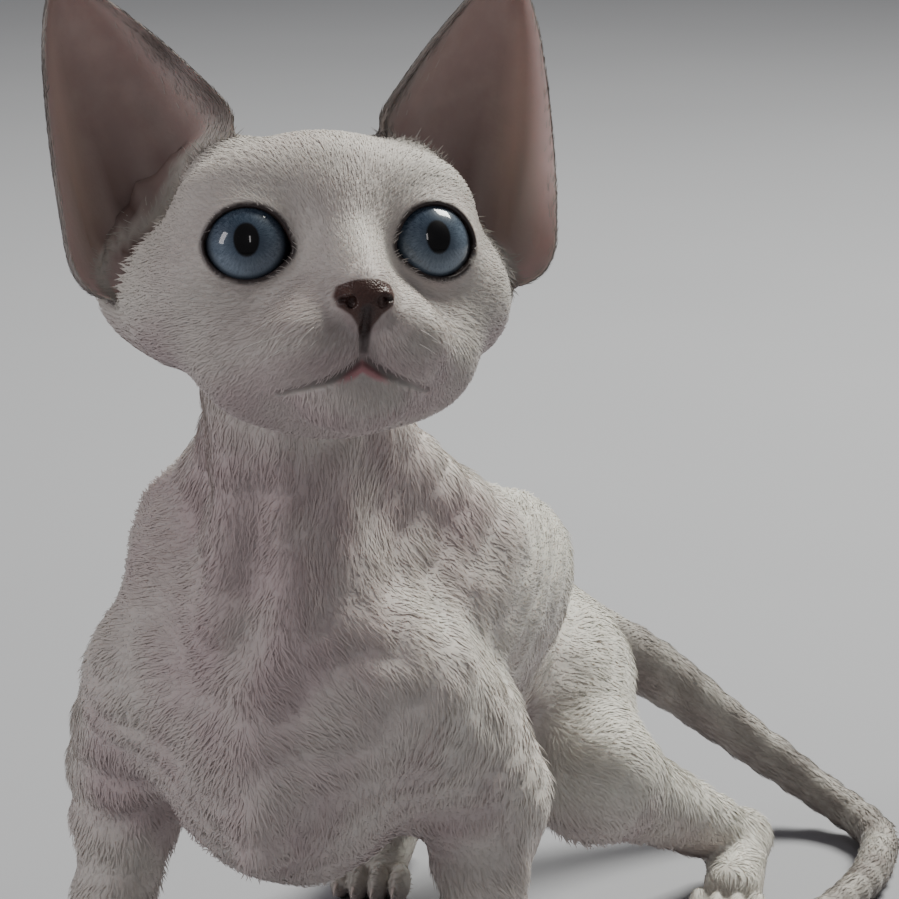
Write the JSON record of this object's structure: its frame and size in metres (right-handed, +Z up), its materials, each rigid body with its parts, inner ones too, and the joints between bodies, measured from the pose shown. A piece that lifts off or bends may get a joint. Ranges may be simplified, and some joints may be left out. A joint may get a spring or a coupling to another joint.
{
  "type": "cat",
  "caption": "Standing devon rex kitten, life size, head raised and turned to its left, with large cupped ears, wide eyes, a slim neck and a long tail curled on the floor.",
  "frame": {"origin": "middle of the whole figure's footprint, on the floor", "axes": "+Z up, -Y the way the chest faces, +X the kitten's own left"},
  "size_m": [0.1276, 0.2466, 0.2011],
  "materials": {
    "coat": "short wavy cream coat over pinkish skin",
    "point_coat": "short grey-brown coat of the tail",
    "ear_skin": "thin skin with down, grey-brown at the rim",
    "nose_leather": "moist, finely pebbled",
    "eye": "wet gloss over a blue iris",
    "claw": "smooth horn"
  },
  "bodies": {
    "root": {"torso": "coat", "neck": "coat", "foreleg_left": "coat", "forepaw_left": "coat", "foreleg_right": "coat", "forepaw_right": "coat", "hindleg_left": "coat", "hindpaw_left": "coat", "hindleg_right": "coat", "hindpaw_right": "coat", "tail_root": "point_coat", "tail_bend": "point_coat", "tail_front": "point_coat", "tail_tip": "point_coat", "head": "coat", "nose": "nose_leather", "eye_left": "eye", "ear_left": "ear_skin", "eye_right": "eye", "ear_right": "ear_skin"}
  },
  "joints": []
}
